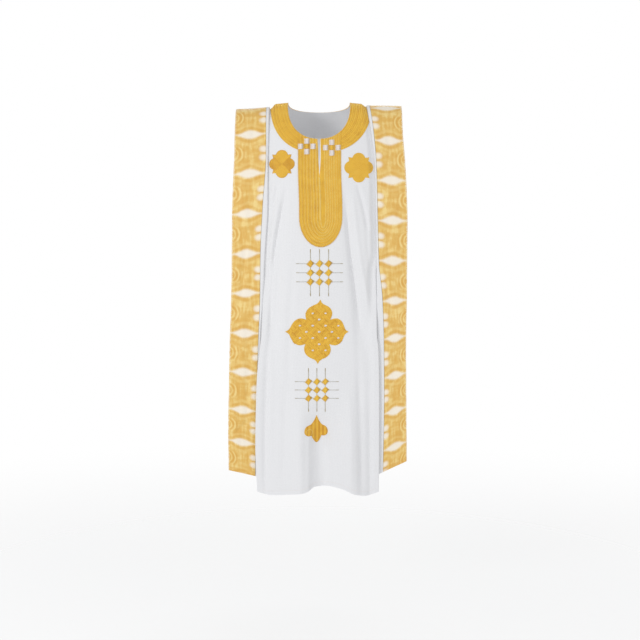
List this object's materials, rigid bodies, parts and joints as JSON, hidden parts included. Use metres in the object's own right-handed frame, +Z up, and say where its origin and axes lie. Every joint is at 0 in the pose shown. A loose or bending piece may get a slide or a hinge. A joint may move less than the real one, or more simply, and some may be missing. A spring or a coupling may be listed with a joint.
{
  "type": "grand boubou robe",
  "caption": "Open-sided ceremonial robe as worn: white ground with gold neck embroidery, and patterned golden side wings folded over the shoulders.",
  "frame": {"origin": "middle of the neck opening, level with the shoulder line, where the wearer's shoulders hold the robe up", "axes": "+Z up along the hanging cloth, -Y to the front of the wearer, +X to the wearer's left hand"},
  "size_m": [0.5488, 0.3104, 1.2049],
  "materials": {
    "ground_cloth": "white polished cotton with soft folds",
    "wing_cloth": "figured damask with a low sheen, amber rings and pale lens shapes",
    "gold_stitching": "raised satin stitch in glossy gold thread",
    "thread_lines": "satin-stitched diamonds joined by thin olive-grey running lines"
  },
  "bodies": {
    "root": {"front_panel": "ground_cloth", "back_panel": "ground_cloth", "side_fold_left": "ground_cloth", "side_fold_right": "ground_cloth", "wing_left": "wing_cloth", "wing_right": "wing_cloth", "front_embroidery": "gold_stitching", "back_yoke": "gold_stitching", "rosette_left": "gold_stitching", "rosette_right": "gold_stitching", "quatrefoil_large": "gold_stitching", "quatrefoil_small": "gold_stitching", "lattice_upper": "thread_lines", "lattice_lower": "thread_lines"}
  },
  "joints": []
}
